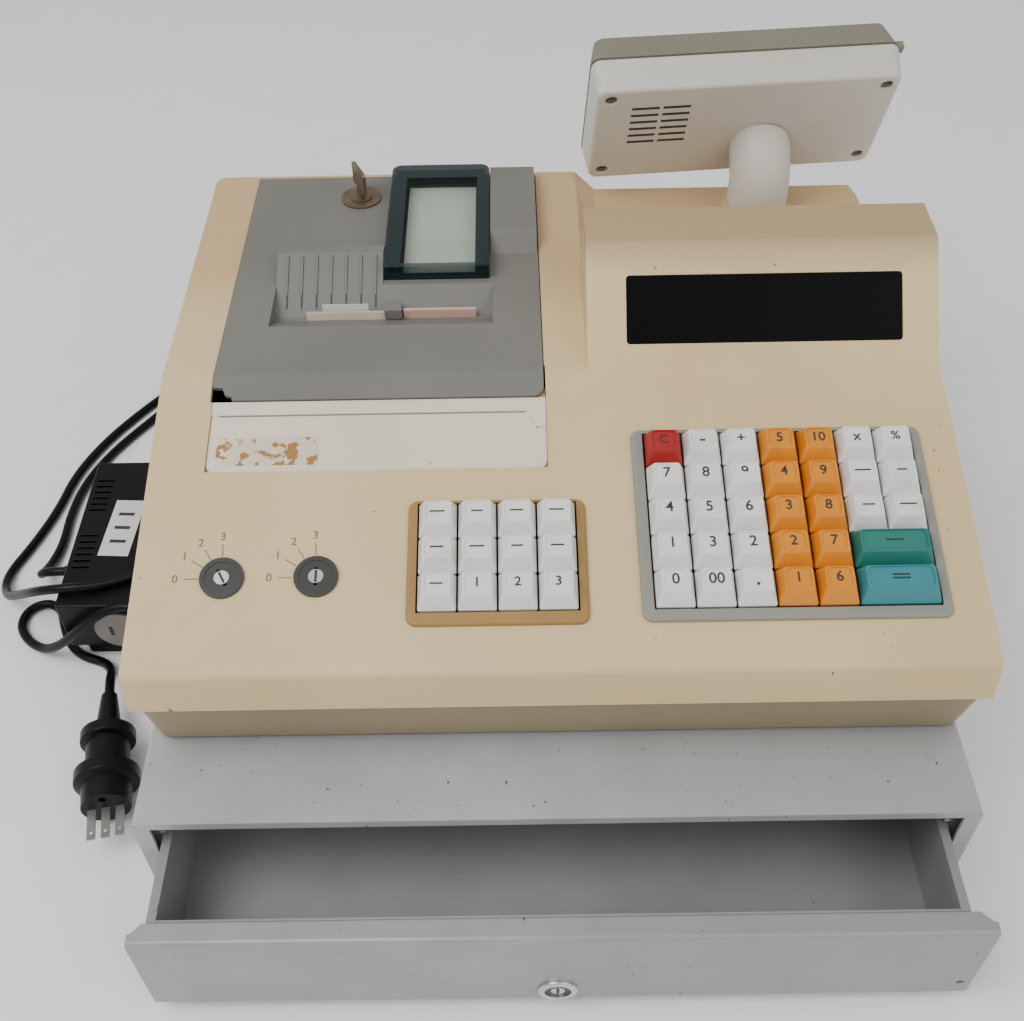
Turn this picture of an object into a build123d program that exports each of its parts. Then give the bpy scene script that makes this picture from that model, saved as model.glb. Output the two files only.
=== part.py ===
from build123d import *
from math import cos, radians, sin
import os

os.makedirs("parts", exist_ok=True)

# All lengths are millimetres. X runs to the operator's right, Y away from
# the operator, Z up, with Z = 0 on the table. Parts are drawn about the
# middle of the case and saved centred on the whole register, whose upper
# display overhangs the right side.

# Datums
centre_shift = -4.14    # from the drawing's X = 0 to the middle of the register
case_x = 0.85           # middle of the plastic case
case_front = -148.0     # front of the case at its parting line
foot_h = 6.0            # rubber feet under the steel cabinet

# Steel drawer cabinet
cabinet_x = -1.55
cabinet_w = 402.0
cabinet_front = case_front - 37.0
cabinet_back = case_front + 355.0
cabinet_top = 95.0
sheet = 1.5

# Drawer, shown partly open
front_face = case_front - 87.0
front_w = 399.0
front_x = -0.5
front_thick = 11.0
front_low = 8.0
front_high = 74.6
tray_x = -2.15
tray_inner_w = 371.0
tray_floor = 27.8
tray_rim = 75.4
tray_flange = 4.4
tray_l = 348.0
drawer_lock_x = -1.6
drawer_lock_z = 20.3

# Plastic case
base_low = 98.0
parting_z = 134.1
case_w = 404.0
case_d = 354.6
case_wall = 3.0
lip_y = 3.0             # front edge of the sloping deck, behind the parting line
lip_z = 157.0
deck_angle = 14.9
deck_len = 165.9
bend_y = lip_y + deck_len * cos(radians(deck_angle))
top_z = lip_z + deck_len * sin(radians(deck_angle))

# Operator display hump and the low shelf behind it
hump_left = 19.5
hump_h = 46.5
hump_ridge_y = 210.5
hump_back_y = 241.0
shelf_y = 243.5
shelf_drop = 12.9
shelf_left = 21.5
display_angle = 44.6

# Keypads, laid out on the sloping deck from its front edge
key_pitch = 19.05
key_low = 0.4
key_skirt = 2.6
key_h = 9.5
key_size = 18.15
key_top_w = 13.6
key_top_d = 11.8
key_top_shift = 1.6
main_left = 45.2
main_cols = 7
main_rows = 5
aux_left = -66.4
aux_cols = 4
aux_rows = 3
keys_front = 29.4
board_h = -14.4
switch_top = -4.8
stem_r = 2.7
stem_hole_r = 3.2

# Mode locks on the deck
mode_x = (-159.3, -114.5)
mode_s = 49.3
mode_r = 10.6
mode_rotor_r = 8.15

# Printer cover and the panel in front of it
cover_left = -174.9
cover_right = -3.6
cover_front_s = 150.0
cover_back_y = 351.0
cover_t = 2.6
cover_rise = 0.8
panel_left = -174.2
panel_right = -2.6
panel_front_s = 107.9
panel_step_s = 141.7
well_left = -151.5
well_right = -29.6
well_split = -91.5
window_box = (-91.2, -31.4, 243.0, 349.0)
window_h = 9.5
block_left = -31.0
cover_lock_x = -109.9
cover_lock_y = 327.0

# Customer display
neck_x = 131.6
neck_y = 325.0
neck_r = 18.0
collar_r = 21.5
head_x = 117.5
head_y = 335.2
head_z = 238.0
head_yaw = 4.6
head_tilt = 21.0
head_w = 175.0
head_h = 76.5
head_back_d = 22.5
head_front_d = 17.0
screw_gap_w = 159.2
screw_gap_h = 60.8

# External power unit and its leads
unit_left = -293.0
unit_right = -211.0
unit_front = -16.0
unit_back = 106.0
unit_top = 50.0
unit_step = 12.0
lead_r = 2.9
lead_exit_x = (-159.2, -139.2)
lead_exit_z = 112.0
lead_exit_y = 232.0
inlet_y = 34.0
inlet_z = 24.0

# Lead from the case to the power unit, laid on the table
supply_route = [
    (-159.2, 232, 112), (-159.2, 247, 112), (-161, 263, 101), (-167, 275, 76),
    (-178, 282, 46), (-195, 283, 20), (-218, 274, 4), (-244, 254, 3.0),
    (-268, 224, 3.0), (-290, 192, 3.0), (-308, 164, 3.0), (-320, 134, 3.0),
    (-323.5, 104, 3.0), (-322, 76, 3.0), (-325, 56, 4.5), (-326, 41, 12),
    (-319, 34, 24), (-305, 34, 24),
]
# Mains lead from the case: over the power unit, back, round its corner to the plug
mains_route = [
    (-139.2, 232, 112), (-139.2, 248, 112), (-141, 266, 100), (-148, 281, 74),
    (-160, 291, 43), (-180, 295, 17), (-208, 289, 4), (-238, 272, 3.0),
    (-268, 243, 3.0), (-294, 209, 3.0), (-315, 176, 3.0), (-329, 141, 3.0),
    (-333, 108, 3.0), (-342, 76, 3.0), (-353, 48, 3.0), (-346, 27, 8),
    (-327, 12, 28), (-308, -2, 48), (-289, -6, 55), (-268, -3, 53.1),
    (-248, 4, 53.1), (-231, 14, 53.1), (-215, 13.5, 53.1), (-206.5, 0, 53.1),
    (-209, -16.5, 53.1), (-223.5, -24.5, 53.1), (-240, -20.5, 53.2), (-255, -18, 52.5),
    (-269, -20.5, 45.5), (-283.5, -22, 32), (-298, -20, 17), (-312, -14, 5.5),
    (-325, -5, 3.0), (-333, 7, 3.0), (-331, 20, 3.0), (-320, 26, 3.0),
    (-309.5, 20, 3.0), (-305, 7, 3.0), (-298, -8, 3.0), (-287, -18, 3.0), (-272.5, -22.5, 3.0),
    (-264.5, -33, 8), (-261.1, -45, 18.2), (-258.6, -58, 18.2),
]


def across(offset):
    """X of a point measured from the middle of the case."""
    return case_x + offset


def behind(depth):
    """Y of a point measured from the front of the case."""
    return case_front + depth


DECK = Plane(
    origin=(case_x, behind(lip_y), lip_z),
    x_dir=(1, 0, 0),
    z_dir=(0, -sin(radians(deck_angle)), cos(radians(deck_angle))),
)
FACE = Plane(
    origin=(case_x, behind(bend_y), top_z),
    x_dir=(1, 0, 0),
    z_dir=(0, -sin(radians(display_angle)), cos(radians(display_angle))),
)
PLUG = Plane(origin=mains_route[-1], x_dir=(0.983, 0.186, 0), z_dir=(0.186, -0.983, 0))
HEAD = Plane(
    origin=(across(head_x), behind(head_y), head_z),
    x_dir=(cos(radians(head_yaw)), sin(radians(head_yaw)), 0),
    z_dir=(
        sin(radians(head_yaw)) * cos(radians(head_tilt)),
        -cos(radians(head_yaw)) * cos(radians(head_tilt)),
        -sin(radians(head_tilt)),
    ),
)


def block(x0, x1, y0, y1, z0, z1, mode=Mode.ADD):
    """A square-cornered block between two opposite corners."""
    middle = ((x0 + x1) / 2, (y0 + y1) / 2, (z0 + z1) / 2)
    with Locations(middle):
        Box(x1 - x0, y1 - y0, z1 - z0, mode=mode)


def slab(plane, x0, x1, y0, y1, low, high, corner=0.0, mode=Mode.ADD):
    """A plate laid on a plane, from one height above it to another."""
    with BuildSketch(plane.offset(low)) as outline:
        with Locations(((x0 + x1) / 2, (y0 + y1) / 2)):
            if corner > 0:
                RectangleRounded(x1 - x0, y1 - y0, corner)
            else:
                Rectangle(x1 - x0, y1 - y0)
    extrude(outline.sketch, amount=high - low, mode=mode)


def disc(plane, x, y, radius, low, high, mode=Mode.ADD):
    """A round post or hole standing on a plane."""
    with BuildSketch(plane.offset(low)) as outline:
        with Locations((x, y)):
            Circle(radius)
    extrude(outline.sketch, amount=high - low, mode=mode)


def prism(plane, points, depth, mode=Mode.ADD):
    """A closed outline on a plane, pushed along the plane's normal."""
    with BuildSketch(plane) as outline:
        with BuildLine():
            Polyline(*points, close=True)
        make_face()
    extrude(outline.sketch, amount=depth, mode=mode)


def side_view(x):
    """Plane for side outlines: its X is the row's Y and its Y the row's Z."""
    return Plane.YZ.offset(x)


def save(builder, name):
    """Centre a finished part on the register, name it and write its STEP file."""
    part = builder.part.moved(Location((centre_shift, 0, 0)))
    part.label = name
    export_step(part, "parts/" + name + ".step")


# ---- steel drawer cabinet -------------------------------------------------

def make_cabinet():
    left = cabinet_x - cabinet_w / 2
    right = cabinet_x + cabinet_w / 2
    with BuildPart() as cabinet:
        block(left, right, cabinet_front, cabinet_back, foot_h, cabinet_top)
        fillet(cabinet.edges().filter_by(Axis.Y).group_by(Axis.Z)[-1], 2.5)
        block(left + sheet, right - sheet, cabinet_front - 1, cabinet_back - sheet,
              foot_h + sheet, cabinet_top - sheet, mode=Mode.SUBTRACT)
        for edge, inward in ((left, 1), (right, -1)):
            near = edge + inward * sheet / 2
            far = edge + inward * 8.0
            block(min(near, far), max(near, far), cabinet_front,
                  cabinet_front + sheet, foot_h + 1, cabinet_top - 2.6)
        block(left + 2, right - 2, cabinet_front, cabinet_front + sheet,
              cabinet_top - 5, cabinet_top - 0.5)
        block(left + 2, right - 2, cabinet_front, cabinet_front + sheet,
              foot_h + 0.5, foot_h + 5)
    save(cabinet, "cabinet")


def rail_outline(wall, reach):
    """Channel section that a tray flange runs in, drawn from the cabinet wall."""
    return [
        (wall, 64.0), (wall + reach, 64.0), (wall + reach, 74.0),
        (wall + reach * 0.44, 74.0), (wall + reach * 0.44, 75.9),
        (wall + reach * 0.9, 75.9), (wall + reach * 0.9, 78.5), (wall, 78.5),
    ]


def make_cabinet_rails():
    length = cabinet_back - cabinet_front - 12
    wall_left = cabinet_x - cabinet_w / 2 + sheet
    wall_right = cabinet_x + cabinet_w / 2 - sheet
    tray_left = tray_x - tray_inner_w / 2 - 1.0
    tray_right = tray_x + tray_inner_w / 2 + 1.0
    with BuildPart() as rails:
        plane = Plane.XZ.offset(-(cabinet_back - 6))
        prism(plane, rail_outline(wall_left, tray_left - wall_left - 0.8), length)
        prism(plane, rail_outline(wall_right, tray_right - wall_right + 0.8), length)
    save(rails, "cabinet_rails")


def make_rubber_feet():
    with BuildPart() as feet:
        for x in (-170, 168):
            for y in (cabinet_front + 28, cabinet_back - 28):
                disc(Plane.XY, x, y, 11, 0, foot_h)
        for x in (-170, 170):
            for y in (behind(34), behind(case_d - 30)):
                disc(Plane.XY, x, y, 8, cabinet_top, base_low)
        fillet(feet.edges().filter_by(GeomType.CIRCLE).group_by(Axis.Z)[0], 1.2)
    save(feet, "rubber_feet")


def make_drawer_release():
    back = cabinet_back - sheet
    with BuildPart() as release:
        block(-30, 30, back - 3, back, 12, 64)
        block(-24, 4, back - 30, back - 3, 20, 50)
        with Locations(Location((-10, back - 30, 35), (90, 0, 0))):
            Cylinder(4, 12, align=(Align.CENTER, Align.CENTER, Align.MIN))
        block(10, 14, back - 34, back - 3, 30, 40)
        block(10, 14, back - 34, back - 30, 30, 48)
    save(release, "drawer_release")


# ---- drawer ---------------------------------------------------------------

def make_drawer_tray():
    inner_left = tray_x - tray_inner_w / 2
    inner_right = tray_x + tray_inner_w / 2
    start = front_face + front_thick
    end = start + tray_l
    with BuildPart() as tray:
        block(inner_left - 1, inner_right + 1, start, end, tray_floor, tray_rim)
        block(inner_left, inner_right, start + 1, end - 1,
              tray_floor + 1.2, tray_rim + 1, mode=Mode.SUBTRACT)
        for side, outward in ((inner_left, -1), (inner_right, 1)):
            far = side + outward * tray_flange
            block(min(side + outward * 0.5, far), max(side + outward * 0.5, far),
                  start, end, tray_rim - 1, tray_rim)
        block(inner_left - 1, inner_right + 1, end - 1, end + 5, tray_rim - 1, tray_rim)
        disc(Plane.XY, inner_left - 2.2, start + 7, 2.1, tray_rim, tray_rim + 0.4)
        disc(Plane.XY, inner_right + 2.2, start + 60, 2.1, tray_rim, tray_rim + 0.4)
    save(tray, "drawer_tray")


def lip_outline(left, right):
    """Folded top or bottom lip of the drawer front, with its cut corners."""
    back = front_face + front_thick
    return [
        (left, front_face + 3), (right, front_face + 3), (right, front_face + 4.5),
        (right - 7, back), (left + 6, back), (left, front_face + 4.5),
    ]


def make_drawer_front():
    left = front_x - front_w / 2
    right = front_x + front_w / 2
    with BuildPart() as front:
        block(left, right, front_face, front_face + 6, front_low, front_high)
        fillet(front.edges().filter_by(Axis.X).group_by(Axis.Y)[0], 2.6)
        block(left + sheet, right - sheet, front_face + sheet, front_face + 8,
              front_low + sheet, front_high - sheet, mode=Mode.SUBTRACT)
        prism(Plane.XY.offset(front_high - sheet), lip_outline(left, right), sheet)
        prism(Plane.XY.offset(front_low), lip_outline(left, right), sheet)
        face = Plane.XZ.offset(-front_face)
        disc(face, drawer_lock_x, drawer_lock_z, 8.85, -8, 1, mode=Mode.SUBTRACT)
        disc(face, right - 5.5, drawer_lock_z + 0.5, 2.0, -8, 1, mode=Mode.SUBTRACT)
    save(front, "drawer_front")


def make_drawer_lock_barrel():
    face = Plane.XZ.offset(-front_face)
    with BuildPart() as barrel:
        disc(face, drawer_lock_x, drawer_lock_z, 9.8, 0, 2.0)
        disc(face, drawer_lock_x, drawer_lock_z, 8.8, -10, 0)
        fillet(barrel.edges().filter_by(GeomType.CIRCLE).group_by(Axis.Y)[0], 1.0)
        disc(face, drawer_lock_x, drawer_lock_z, 6.55, -11, 3, mode=Mode.SUBTRACT)
    save(barrel, "drawer_lock_barrel")


def make_drawer_lock_plug():
    face = Plane.XZ.offset(-front_face)
    with BuildPart() as plug:
        disc(face, drawer_lock_x, drawer_lock_z, 6.5, -11, 1.2)
        slab(face, drawer_lock_x - 0.9, drawer_lock_x + 0.9, drawer_lock_z - 3.6,
             drawer_lock_z + 3.6, -5, 2, mode=Mode.SUBTRACT)
        slab(face, drawer_lock_x - 4, drawer_lock_x + 8.5, drawer_lock_z - 4,
             drawer_lock_z + 4, -13, -11)
    save(plug, "drawer_lock_plug")


# ---- plastic case ---------------------------------------------------------

def case_screw_places():
    """Screw posts that join the two halves of the case."""
    return [(across(x), behind(y)) for x in (-188, 188) for y in (60, 300)]


def make_base_shell():
    low = Plane.XY.offset(base_low)
    high = Plane.XY.offset(parting_z)
    front_in = 9.5
    with BuildPart() as base:
        for grow, floor in ((0.0, 0.0), (-case_wall, case_wall)):
            with BuildSketch(low.offset(floor)) as bottom:
                with Locations((case_x, behind((front_in + case_d - 4) / 2))):
                    RectangleRounded(case_w - 7 + 2 * grow, case_d - 4 - front_in + 2 * grow, 7 + grow)
            with BuildSketch(high) as rim:
                with Locations((case_x, behind(case_d / 2))):
                    RectangleRounded(case_w - 3 + 2 * grow, case_d - 3 + 2 * grow, 7 + grow)
            loft([bottom.sketch, rim.sketch], mode=Mode.ADD if grow == 0 else Mode.SUBTRACT)
        for x in lead_exit_x:
            disc(Plane.XZ.offset(-behind(case_d)), x, lead_exit_z, 5.5, -1, 12, mode=Mode.SUBTRACT)
        for x, y in case_screw_places():
            disc(Plane.XY, x, y, 5, base_low + 2, parting_z - 2)
            disc(Plane.XY, x, y, 1.7, base_low - 1, parting_z, mode=Mode.SUBTRACT)
    save(base, "base_shell")


def case_profile(top_left):
    """Side outline of the case; a lower rear shelf replaces the flat top."""
    low = parting_z
    outline = [
        (behind(0), low), (behind(lip_y), lip_z), (behind(bend_y), top_z),
    ]
    if top_left:
        outline += [(behind(case_d), top_z)]
    else:
        outline += [(behind(shelf_y), top_z), (behind(shelf_y), top_z - shelf_drop),
                    (behind(case_d), top_z - shelf_drop)]
    outline += [(behind(case_d), low)]
    return outline


def hump_profile(shrink):
    """Side outline of the display hump, from below the case top."""
    foot = top_z - 12
    return [
        (behind(bend_y - 12 * 1.01 + shrink * 1.42), foot),
        (behind(hump_ridge_y + shrink * 0.42), top_z + hump_h - shrink),
        (behind(hump_back_y - shrink), top_z + hump_h - shrink),
        (behind(shelf_y - shrink), foot),
    ]


def add_case_outside(case):
    left = across(-case_w / 2)
    right = across(case_w / 2)
    prism(side_view(left), case_profile(True), case_w)
    fillet(case.edges().filter_by(Axis.Z), 6)
    deck_front = case.edges().filter_by(Axis.X).filter_by_position(Axis.Z, lip_z - 1, lip_z + 1)
    fillet(deck_front, 4)
    prism(side_view(across(hump_left)), hump_profile(0), right - across(hump_left))
    cut = [(across(shelf_left - 2), top_z + 2), (across(shelf_left + shelf_drop), top_z - shelf_drop),
           (right - 7, top_z - shelf_drop), (right + 1, top_z - shelf_drop - 8),
           (right + 5, top_z - shelf_drop - 8), (right + 5, top_z + 2)]
    prism(Plane.XZ.offset(-behind(shelf_y)), cut, -(case_d - shelf_y + 5), mode=Mode.SUBTRACT)


def cut_case_inside():
    left = across(-case_w / 2) + case_wall
    right = across(case_w / 2) - case_wall
    with BuildSketch(side_view(left)) as inner:
        with BuildLine():
            Polyline(*[
                (behind(case_wall + 0.4), parting_z - 5), (behind(lip_y + 2.6), lip_z - 2.3),
                (behind(bend_y + 0.4), top_z - case_wall), (behind(case_d - case_wall), top_z - case_wall),
                (behind(case_d - case_wall), parting_z - 5)], close=True)
        make_face()
    extrude(inner.sketch, amount=across(shelf_left - 3.5) - left, mode=Mode.SUBTRACT)
    front = [
        (behind(case_wall + 0.4), parting_z - 5), (behind(lip_y + 2.6), lip_z - 2.3),
        (behind(bend_y + 0.4), top_z - case_wall), (behind(shelf_y - case_wall), top_z - case_wall),
        (behind(shelf_y - case_wall), parting_z - 5)]
    start = across(shelf_left - 3.6)
    prism(side_view(start), front, right - start, mode=Mode.SUBTRACT)
    block(start, right - 6, behind(shelf_y - case_wall - 1), behind(case_d - case_wall),
          parting_z - 5, top_z - shelf_drop - case_wall, mode=Mode.SUBTRACT)
    block(right - 7, right, behind(shelf_y - case_wall - 1), behind(case_d - case_wall),
          parting_z - 5, top_z - shelf_drop - 12, mode=Mode.SUBTRACT)
    inner_hump = hump_profile(case_wall)
    hump_start = across(hump_left + case_wall + 1)
    prism(side_view(hump_start), inner_hump, right - hump_start, mode=Mode.SUBTRACT)


def cut_case_openings():
    for start, cols, rows in ((main_left, main_cols, main_rows), (aux_left, aux_cols, aux_rows)):
        slab(DECK, start - 2.2, start + cols * key_pitch + 2.2, keys_front - 2.2,
             keys_front + rows * key_pitch + 2.2, -9, 6, mode=Mode.SUBTRACT)
    for x in mode_x:
        disc(DECK, x, mode_s, 9.6, -9, 6, mode=Mode.SUBTRACT)
    slab(DECK, panel_left, panel_right, panel_front_s, deck_len + 4, -5, 8, mode=Mode.SUBTRACT)
    slab(DECK, cover_left - 0.5, cover_right + 0.5, cover_front_s - 0.5, deck_len + 4, -5, 8,
         mode=Mode.SUBTRACT)
    block(across(cover_left - 0.5), across(cover_right + 0.5), behind(bend_y - 6),
          behind(cover_back_y + 0.4), top_z - 8, top_z + 5, mode=Mode.SUBTRACT)
    slab(FACE, 40, 183.5, 12.8, 48.5, -6, 3, corner=2.0, mode=Mode.SUBTRACT)
    shelf = top_z - shelf_drop
    disc(Plane.XY, across(neck_x), behind(neck_y), 11, shelf - 5, shelf + 14, mode=Mode.SUBTRACT)


def add_neck_collar(low, high):
    with BuildSketch(Plane.XY.offset(low)) as wide:
        with Locations((across(neck_x), behind(neck_y))):
            Circle(collar_r + 1)
    with BuildSketch(Plane.XY.offset(high)) as narrow:
        with Locations((across(neck_x), behind(neck_y))):
            Circle(collar_r - 1)
    loft([wide.sketch, narrow.sketch])


def make_top_case():
    shelf = top_z - shelf_drop
    with BuildPart() as case:
        add_case_outside(case)
        cut_case_inside()
        add_neck_collar(shelf - 1, shelf + 9)
        cut_case_openings()
        for x, y in case_screw_places():
            wall_x = x + 12 if x > case_x else x - 12
            block(min(x, wall_x), max(x, wall_x), y - 1.5, y + 1.5, parting_z + 2, parting_z + 14)
            disc(Plane.XY, x, y, 5, parting_z - 1.8, parting_z + 14)
            disc(Plane.XY, x, y, 1.6, parting_z - 2, parting_z + 12, mode=Mode.SUBTRACT)
    save(case, "top_case")


# ---- operator display, panels and keypads ---------------------------------

def make_operator_window():
    with BuildPart() as window:
        slab(FACE, 40.2, 183.3, 13.0, 48.3, -5.2, -0.9, corner=1.8)
        slab(FACE, 36.5, 187.0, 9.5, 52.0, -5.2, -3.1)
    save(window, "operator_window")


def make_operator_display():
    with BuildPart() as display:
        slab(FACE, 38, 186, 8, 50, -15, -13.4)
        slab(FACE, 48, 176, 16, 44, -13.4, -8)
        for x in (40, 178):
            slab(FACE, x, x + 5, 11, 17, -13.4, -5.2)
            slab(FACE, x, x + 5, 42, 48, -13.4, -5.2)
    save(display, "operator_display")


def make_front_panel():
    low = panel_front_s + 0.25
    left = panel_left + 0.25
    right = panel_right - 0.25
    with BuildPart() as panel:
        slab(DECK, left, right, low, cover_front_s - 0.4, -3.6, -1.4)
        fillet(panel.edges().filter_by(Axis(DECK.origin, DECK.z_dir)).group_by(Axis.Y)[0], 5)
        strip = [(left, panel_step_s), (right - 9.5, panel_step_s), (right - 4.5, 132.0),
                 (right, 132.0), (right, cover_front_s - 0.4), (left, cover_front_s - 0.4)]
        prism(DECK.offset(-1.6), strip, 1.2)
        slab(DECK, left - 2.5, right + 2.0, low - 2.5, cover_front_s - 0.4, -5.2, -3.5)
    save(panel, "front_panel")


def keypad_frame(frame, start, cols, rows, margins):
    """Bezel with a skirt that drops through the deck around a block of keys."""
    side_l, side_r, low, high = margins
    right = start + cols * key_pitch
    back = keys_front + rows * key_pitch
    slab(DECK, start - side_l, right + side_r, keys_front - low, back + high, 0, 2.4, corner=5)
    fillet(frame.faces().sort_by(Axis(DECK.origin, DECK.z_dir))[-1].edges(), 1.4)
    slab(DECK, start - 1.9, right + 1.9, keys_front - 1.9, back + 1.9, -12, 0.2, corner=1.0)
    slab(DECK, start - 0.45, right + 0.45, keys_front - 0.45, back + 0.45, -13, 4, mode=Mode.SUBTRACT)


def make_main_keypad_frame():
    with BuildPart() as frame:
        keypad_frame(frame, main_left, main_cols, main_rows, (6.2, 5.0, 6.2, 2.8))
    save(frame, "main_keypad_frame")


def make_aux_keypad_frame():
    with BuildPart() as frame:
        keypad_frame(frame, aux_left, aux_cols, aux_rows, (5.0, 4.8, 6.6, 2.2))
    save(frame, "aux_keypad_frame")


def make_key_board():
    with BuildPart() as board:
        slab(DECK, aux_left - 8, main_left + main_cols * key_pitch + 8, 19,
             keys_front + main_rows * key_pitch + 5, board_h - 1.6, board_h)
        for start, cols, rows in ((main_left, main_cols, main_rows), (aux_left, aux_cols, aux_rows)):
            for x, s in cell_centres(start, cols, rows):
                slab(DECK, x - 7, x + 7, s - 7, s + 7, board_h, switch_top)
            with BuildSketch(DECK.offset(board_h)) as holes:
                with Locations(*cell_centres(start, cols, rows)):
                    Circle(stem_hole_r)
            extrude(holes.sketch, amount=12, mode=Mode.SUBTRACT)
    save(board, "key_board")


def cell_centres(start, cols, rows):
    """Middles of the switches of one keypad, on the deck; the two wide keys have one each."""
    centres = []
    for row in range(rows):
        for col in range(cols):
            wide = start == main_left and row < 2 and col >= 5
            if wide and col == 6:
                continue
            middle = 1.0 if wide else 0.5
            centres.append((start + (col + middle) * key_pitch, keys_front + (row + 0.5) * key_pitch))
    return centres


# ---- keycaps --------------------------------------------------------------

def add_keycap(x, s, units=1):
    """One sculpted keycap with a dished top and its stem, centred on a cell."""
    wide = key_size + (units - 1) * key_pitch
    top_wide = key_top_w + (units - 1) * key_pitch
    with BuildSketch(DECK.offset(key_skirt)) as skirt_top:
        with Locations((x, s)):
            RectangleRounded(wide, key_size, 0.9)
    with BuildSketch(DECK.offset(key_h)) as crown:
        with Locations((x, s + key_top_shift)):
            RectangleRounded(top_wide, key_top_d, 1.6)
    extrude(skirt_top.sketch, amount=-(key_skirt - key_low))
    loft([skirt_top.sketch, crown.sketch])
    slab(DECK, x - top_wide / 2 + 1.2, x + top_wide / 2 - 1.2, s + key_top_shift - 4.9,
         s + key_top_shift + 5.4, key_h - 0.7, key_h + 1, corner=2.4, mode=Mode.SUBTRACT)
    slab(DECK, x - wide / 2 + 1.4, x + wide / 2 - 1.4, s - key_size / 2 + 1.6,
         s + key_size / 2 - 1.4, key_low - 1, 4.4, mode=Mode.SUBTRACT)
    disc(DECK, x, s, stem_r, -8.6, 4.6)


def make_keys(name, cells):
    """Keycaps that share a node; each cell gives column, row and width in units."""
    with BuildPart() as keys:
        for start, col, row, units in cells:
            x = start + (col + units / 2) * key_pitch
            s = keys_front + (row + 0.5) * key_pitch
            add_keycap(x, s, units)
    save(keys, name)


def make_all_keys():
    digit_cells = {
        "0": (0, 0), "1": (0, 1), "3": (1, 1), "2": (2, 1), "4": (0, 2), "5": (1, 2),
        "6": (2, 2), "7": (0, 3), "8": (1, 3), "9": (2, 3),
    }
    for digit, (col, row) in digit_cells.items():
        make_keys("key_" + digit, [(main_left, col, row, 1)])
    make_keys("key_clear", [(main_left, 0, 4, 1)])
    make_keys("key_minus", [(main_left, 1, 4, 1)])
    make_keys("key_plus", [(main_left, 2, 4, 1)])
    make_keys("keys_decimal", [(main_left, 1, 0, 1), (main_left, 2, 0, 1)])
    make_keys("keys_department", [(main_left, col, row, 1) for row in range(main_rows) for col in (3, 4)])
    make_keys("keys_function", [(main_left, col, row, 1) for row in (2, 3, 4) for col in (5, 6)])
    make_keys("key_subtotal", [(main_left, 5, 1, 2)])
    make_keys("key_total", [(main_left, 5, 0, 2)])
    make_keys("keys_aux", [(aux_left, col, row, 1) for row in range(aux_rows) for col in range(aux_cols)])


# ---- mode locks -----------------------------------------------------------

def make_mode_lock_bodies():
    with BuildPart() as bodies:
        for x in mode_x:
            disc(DECK, x, mode_s, mode_r, 0, 1.6)
            disc(DECK, x, mode_s, 9.4, -20, 0)
            disc(DECK, x, mode_s, mode_rotor_r + 0.05, -19, 3, mode=Mode.SUBTRACT)
    save(bodies, "mode_lock_bodies")


def make_mode_rotor(name, x, slot_angle):
    """Keyed disc of one mode lock; the slot lies along the given direction."""
    with BuildPart() as rotor:
        disc(DECK, x, mode_s, mode_rotor_r, -18.9, 1.3)
        with BuildSketch(DECK.offset(-5)) as slot:
            with Locations((x, mode_s)):
                Circle(2.6)
            with Locations(Location((x, mode_s), slot_angle)):
                Rectangle(9.4, 1.7)
        extrude(slot.sketch, amount=8, mode=Mode.SUBTRACT)
    save(rotor, name)


# ---- printer --------------------------------------------------------------

def make_printer_frame():
    with BuildPart() as frame:
        block(across(-168), across(-10), behind(176), behind(340), 104, 107)
        for x in (-168, -88, -14):
            block(across(x), across(x + 2), behind(176), behind(340), 107, 178)
        for y, z, radius in ((200, 168, 4.05), (298, 142, 3.05)):
            shaft(y, z, radius, 200, -90, mode=Mode.SUBTRACT)
        for y, z in ((186, 150), (330, 116), (248, 120)):
            shaft(y, z, 3, 155, -90)
        block(across(-60), across(-44), behind(179), behind(193), 142, 158)
        for x in (-160, -22):
            for y in (182, 328):
                disc(Plane.XY, across(x), behind(y), 4, base_low + case_wall, 104)
    save(frame, "printer_frame")


def shaft(y, z, radius, length, x_mid, mode=Mode.ADD):
    """A round bar or roll lying across the printer."""
    with Locations(Location((across(x_mid), behind(y), z), (0, 90, 0))):
        Cylinder(radius, length, mode=mode)


def make_platen():
    with BuildPart() as platen:
        shaft(200, 168, 4.0, 164, -90)
        shaft(200, 168, 8.0, 58, -126)
        shaft(200, 168, 8.0, 58, -50)
    save(platen, "platen")


def make_paper_rolls():
    with BuildPart() as receipt:
        shaft(298, 142, 3.0, 82.2, -128.3)
        shaft(298, 142, 28.0, 57, -126)
    save(receipt, "receipt_roll")
    with BuildPart() as journal:
        shaft(298, 142, 3.0, 81.4, -46.1)
        shaft(298, 142, 24.0, 45, -52)
        shaft(298, 142, 30.0, 1.6, -76)
        shaft(298, 142, 30.0, 1.6, -27)
    save(journal, "journal_spool")


def cover_side(low, high, back):
    """Side outline of the bent cover between two heights over the case."""
    angle = radians(deck_angle)

    def on_deck(s, h):
        return (behind(lip_y + s * cos(angle) - h * sin(angle)), lip_z + s * sin(angle) + h * cos(angle))

    bend = behind(bend_y) - high * 0.13
    return [(behind(back), top_z + high), (bend, top_z + high), on_deck(cover_front_s, high),
            on_deck(cover_front_s, low), (bend, top_z + low), (behind(back), top_z + low)]


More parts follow.
